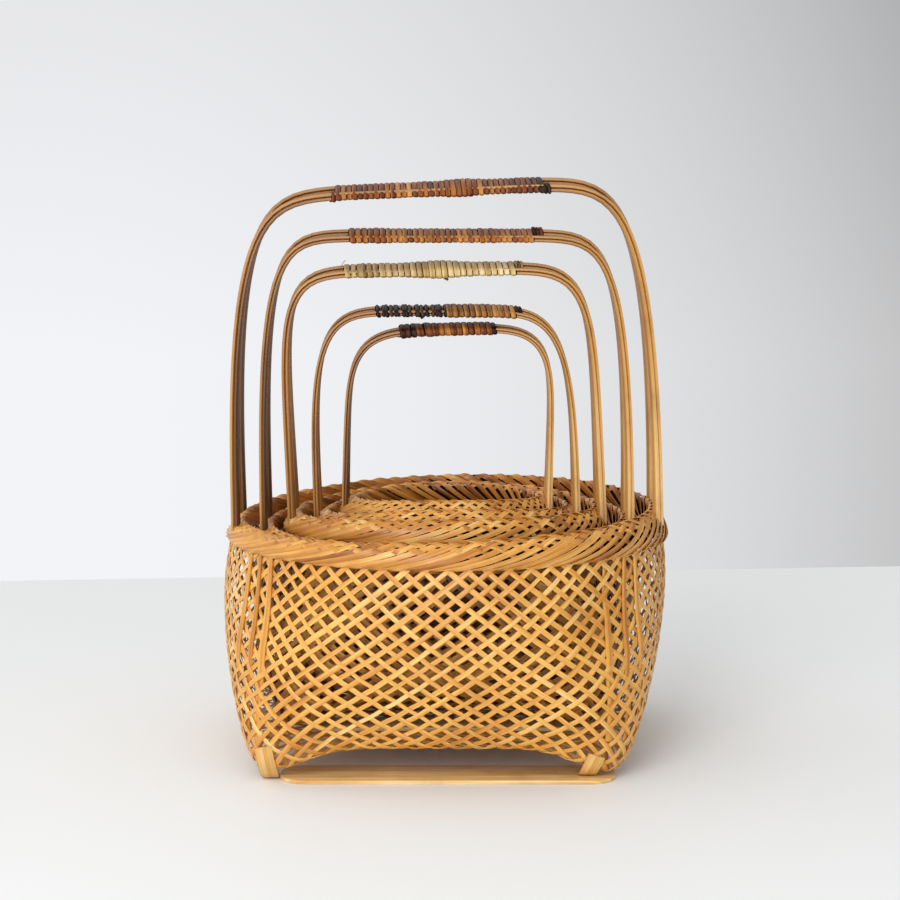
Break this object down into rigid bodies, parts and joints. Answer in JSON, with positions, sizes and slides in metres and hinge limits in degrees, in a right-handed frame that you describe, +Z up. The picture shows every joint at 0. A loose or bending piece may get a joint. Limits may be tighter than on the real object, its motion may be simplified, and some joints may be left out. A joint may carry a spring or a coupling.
{
  "type": "nested bamboo flower basket",
  "caption": "Nest of openwork bamboo flower baskets, square at the foot and round at the mouth, each with a plaited border and an arched handle bound with cane.",
  "frame": {"origin": "on the floor under the middle of the nest", "axes": "+Z up, X along the handles from left to right, -Y towards the viewer of the picture"},
  "size_m": [0.2516, 0.2516, 0.3231],
  "materials": {
    "plaited_bamboo": "satin",
    "border_bamboo": "satin",
    "bent_bamboo": "satin",
    "split_bamboo": "satin",
    "red_brown_cane": "satin",
    "pale_cane": "satin",
    "dark_cane": "satin"
  },
  "bodies": {
    "basket_1": {"basket_1_body": "plaited_bamboo", "basket_1_rim": "border_bamboo", "basket_1_bow_front": "bent_bamboo", "basket_1_bow_rear": "bent_bamboo", "basket_1_binding": "red_brown_cane", "basket_1_lath_front": "split_bamboo", "basket_1_lath_rear": "split_bamboo", "basket_1_tie_front_left": "split_bamboo", "basket_1_stay_front_left_1": "split_bamboo", "basket_1_stay_front_left_2": "split_bamboo", "basket_1_stay_front_left_3": "split_bamboo", "basket_1_tie_front_right": "split_bamboo", "basket_1_stay_front_right_1": "split_bamboo", "basket_1_stay_front_right_2": "split_bamboo", "basket_1_stay_front_right_3": "split_bamboo", "basket_1_tie_rear_left": "split_bamboo", "basket_1_stay_rear_left_1": "split_bamboo", "basket_1_stay_rear_left_2": "split_bamboo", "basket_1_stay_rear_left_3": "split_bamboo", "basket_1_tie_rear_right": "split_bamboo", "basket_1_stay_rear_right_1": "split_bamboo", "basket_1_stay_rear_right_2": "split_bamboo", "basket_1_stay_rear_right_3": "split_bamboo"},
    "basket_2": {"basket_2_body": "plaited_bamboo", "basket_2_rim": "border_bamboo", "basket_2_bow_front": "bent_bamboo", "basket_2_bow_rear": "bent_bamboo", "basket_2_binding": "red_brown_cane", "basket_2_lath_front": "split_bamboo", "basket_2_lath_rear": "split_bamboo"},
    "basket_3": {"basket_3_body": "plaited_bamboo", "basket_3_rim": "border_bamboo", "basket_3_bow_front": "bent_bamboo", "basket_3_bow_rear": "bent_bamboo", "basket_3_binding": "pale_cane", "basket_3_lath_front": "split_bamboo", "basket_3_lath_rear": "split_bamboo"},
    "basket_4": {"basket_4_body": "plaited_bamboo", "basket_4_rim": "border_bamboo", "basket_4_bow_front": "bent_bamboo", "basket_4_bow_rear": "bent_bamboo", "basket_4_binding": "dark_cane", "basket_4_lath_front": "split_bamboo", "basket_4_lath_rear": "split_bamboo"},
    "basket_5": {"basket_5_body": "plaited_bamboo", "basket_5_rim": "border_bamboo", "basket_5_bow_front": "bent_bamboo", "basket_5_bow_rear": "bent_bamboo", "basket_5_binding": "red_brown_cane", "basket_5_lath_front": "split_bamboo", "basket_5_lath_rear": "split_bamboo"}
  },
  "joints": [
    {"name": "basket_2_lift", "type": "slide", "parent": "basket_1", "child": "basket_2", "axis": [0, 0, 1], "range_m": [0, 0.015]},
    {"name": "basket_3_lift", "type": "slide", "parent": "basket_2", "child": "basket_3", "axis": [0, 0, 1], "range_m": [0, 0.0095]},
    {"name": "basket_4_lift", "type": "slide", "parent": "basket_3", "child": "basket_4", "axis": [0, 0, 1], "range_m": [0, 0.014]},
    {"name": "basket_5_lift", "type": "slide", "parent": "basket_4", "child": "basket_5", "axis": [0, 0, 1], "range_m": [0, 0.002]}
  ]
}
